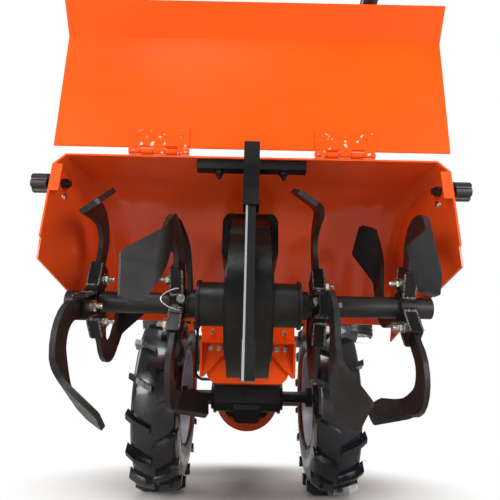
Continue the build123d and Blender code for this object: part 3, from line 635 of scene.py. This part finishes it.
def bracket_fasteners():
    """Bolts of the coupling bracket's ledge and nuts of its flange."""
    bolts = bmesh.new()
    for s, _ in LEFT_AND_RIGHT:
        for place in LEDGE_BOLTS:
            bolt_head(bolts, sided(s, place), REARWARD, LEDGE_SIZE)
        nut_end(bolts, sided(s, FLANGE_NUT), REARWARD, FLANGE_SIZE)
    piece("bracket_bolts", bolts, "zinc", "chassis")


WHEEL_X, WHEEL_Z = 187, 207.5             # middle of a tyre
SHOULDER_X = 49                           # tyre's middle plane to its shoulder
HAIRS, HAIR_SIDES = 34, 5
HAIR_FOOT, HAIR_LENGTH = (176, 196), (6, 11)      # ranges of the distance from the axle and of the length
HAIR_R, HAIR_TIP_R = 0.45, 0.25


def tyre_hairs():
    """Moulding hairs on the shoulders of the tyres."""
    for s, label in LEFT_AND_RIGHT:
        hairs = bmesh.new()
        for i in range(HAIRS):
            turn = math.tau * (i + DICE.uniform(-0.3, 0.3)) / HAIRS
            side = DICE.choice((-1, 1))
            radius = DICE.uniform(*HAIR_FOOT)
            x = s * WHEEL_X + side * SHOULDER_X
            foot = at(x, radius * math.sin(turn), WHEEL_Z + radius * math.cos(turn))
            aim = Vector((side * 1.0, DICE.uniform(-0.5, 0.5), DICE.uniform(-0.5, 0.5)))
            tip = DICE.uniform(*HAIR_LENGTH)
            turned(hairs, foot, aim, [(0, HAIR_R), (tip, HAIR_TIP_R)], HAIR_SIDES)
        piece("tyre_hairs_" + label, hairs, "tyre_rubber", "wheel_" + label, HAIR_LOOK)


shaft_pins()
hood_fasteners()
bracket_fasteners()
tyre_hairs()


# ---- studio, in metres ----
WHITE, COOL = (1, 1, 1), (0.85, 0.92, 1.0)
LIGHTS_AIM = (0, -0.45, 0.25)             # from the middle of the wheel axle
# name, place from the aim, side of the square, watts, colour
LIGHTS = [
    ("key", (-0.6, -1.9, 2.5), 1.0, 36, WHITE),
    ("fill", (1.5, -2.0, 0.1), 0.9, 34, WHITE),
    ("low", (-1.5, -2.0, 0.1), 0.8, 30, WHITE),
    ("top", (0.2, 0.6, 2.9), 2.2, 60, WHITE),
    ("side", (-2.6, 0.4, 0.9), 1.4, 30, COOL),
]
WORLD_LIGHT, WORLD_SEEN = 0.30, 1.0       # strengths for the object, and for what is seen directly
FLOOR_HALF, FLOOR_Z = 14.0, -0.0005
# beige floor colours, darkened as painted shadow under the machine's engine; the beige itself is the floor's
# own colour
FLOOR_SHADED_DARK, FLOOR_SHADED_LIGHT = (0.56, 0.50, 0.45), (0.68, 0.63, 0.57)
FLOOR_SCALE, FLOOR_ROUGH = 1.5, 0.5
FLOOR_AHEAD = 0.22                        # middle of the floor patch with its painted shadow, ahead of the axle under the engine
FLOOR_NEAR, FLOOR_FAR = 0.26, 0.62        # the darkened floor stays up to the first, and is white beyond the second


def area_light(name, place, aim, size, watts, colour):
    """Square soft light at place, aimed at a point."""
    data = bpy.data.lights.new(name, "AREA")
    data.shape = "SQUARE"
    data.size = size
    data.energy = watts
    data.color = colour
    lamp = added(name, data)
    lamp.location = place
    lamp.rotation_euler = (aim - place).to_track_quat("-Z", "Y").to_euler()


def fade_to_white(mat, shader):
    """Shows the floor beyond a distance from the wheels as white to the camera and through glass only."""
    tree = mat.node_tree
    coord = tree.nodes.new("ShaderNodeTexCoord")
    shift = tree.nodes.new("ShaderNodeMapping")
    shift.inputs["Location"].default_value = (0, -AXLE.y - FLOOR_AHEAD, 0)
    length = tree.nodes.new("ShaderNodeVectorMath")
    length.operation = "LENGTH"
    reach = tree.nodes.new("ShaderNodeMapRange")
    reach.interpolation_type = "SMOOTHSTEP"
    reach.inputs["From Min"].default_value = FLOOR_NEAR
    reach.inputs["From Max"].default_value = FLOOR_FAR
    tree.links.new(coord.outputs["Object"], shift.inputs["Vector"])
    tree.links.new(shift.outputs["Vector"], length.inputs[0])
    tree.links.new(length.outputs["Value"], reach.inputs["Value"])
    share = calculated(tree, "MULTIPLY", reach.outputs["Result"], seen_directly(tree))
    white = tree.nodes.new("ShaderNodeEmission")
    mix = tree.nodes.new("ShaderNodeMixShader")
    tree.links.new(share, mix.inputs["Fac"])
    tree.links.new(shader.outputs["BSDF"], mix.inputs[1])
    tree.links.new(white.outputs["Emission"], mix.inputs[2])
    tree.links.new(mix.outputs["Shader"], tree.nodes["Material Output"].inputs["Surface"])


def studio_floor():
    """Beige floor, darkened near the machine as painted shadow, that fades to the white surroundings."""
    mesh = bpy.data.meshes.new("floor")
    corners = [(-1, -1), (1, -1), (1, 1), (-1, 1)]
    mesh.from_pydata([(x * FLOOR_HALF, y * FLOOR_HALF, 0) for x, y in corners], [], [(0, 1, 2, 3)])
    floor = added("floor", mesh)
    floor.location.z = FLOOR_Z
    mat, shader = new_material("floor")
    tree = mat.node_tree
    colour = ramp(
        tree, noise(tree, FLOOR_SCALE, 2.0), [(NOISE_LOW, FLOOR_SHADED_DARK), (NOISE_HIGH, FLOOR_SHADED_LIGHT)]
    )
    tree.links.new(colour, shader.inputs["Base Color"])
    shader.inputs["Roughness"].default_value = FLOOR_ROUGH
    fade_to_white(mat, shader)
    mesh.materials.append(mat)


def studio_world():
    """Surroundings that are seen white and light the object less."""
    world = bpy.data.worlds.new("studio")
    bpy.context.scene.world = world
    world.use_nodes = True
    tree = world.node_tree
    back = tree.nodes["Background"]
    back.inputs["Color"].default_value = (*WHITE, 1)
    strength = tree.nodes.new("ShaderNodeMapRange")
    strength.inputs["To Min"].default_value = WORLD_LIGHT
    strength.inputs["To Max"].default_value = WORLD_SEEN
    tree.links.new(seen_directly(tree), strength.inputs["Value"])
    tree.links.new(strength.outputs["Result"], back.inputs["Strength"])


# ---- camera ----
FOCAL_PX, FRAME_PX = 460.0, 500.0
SENSOR_MM = 36.0
CLIP_START = 0.05
CAMERA_BACK, CAMERA_UP = 1.155, 0.160     # behind the wheel axle, and above the floor
PITCH, ROLL = math.radians(20.0), math.radians(1.2)


def camera():
    """Low camera straight behind the machine, looking up at the raised flap."""
    data = bpy.data.cameras.new("camera")
    data.sensor_width = SENSOR_MM
    data.lens = FOCAL_PX / FRAME_PX * SENSOR_MM
    data.clip_start = CLIP_START
    cam = added("camera", data)
    place = Matrix.Translation((0, AXLE.y - CAMERA_BACK, CAMERA_UP))
    turn = Matrix.Rotation(math.pi / 2 + PITCH, 4, "X") @ Matrix.Rotation(ROLL, 4, "Z")
    cam.matrix_world = place @ turn
    bpy.context.scene.camera = cam


studio_floor()
studio_world()
aim = AXLE + Vector(LIGHTS_AIM)
for name, place, size, watts, colour in LIGHTS:
    area_light(name, aim + Vector(place), aim, size, watts, colour)
camera()
bpy.context.scene.view_settings.view_transform = "Standard"
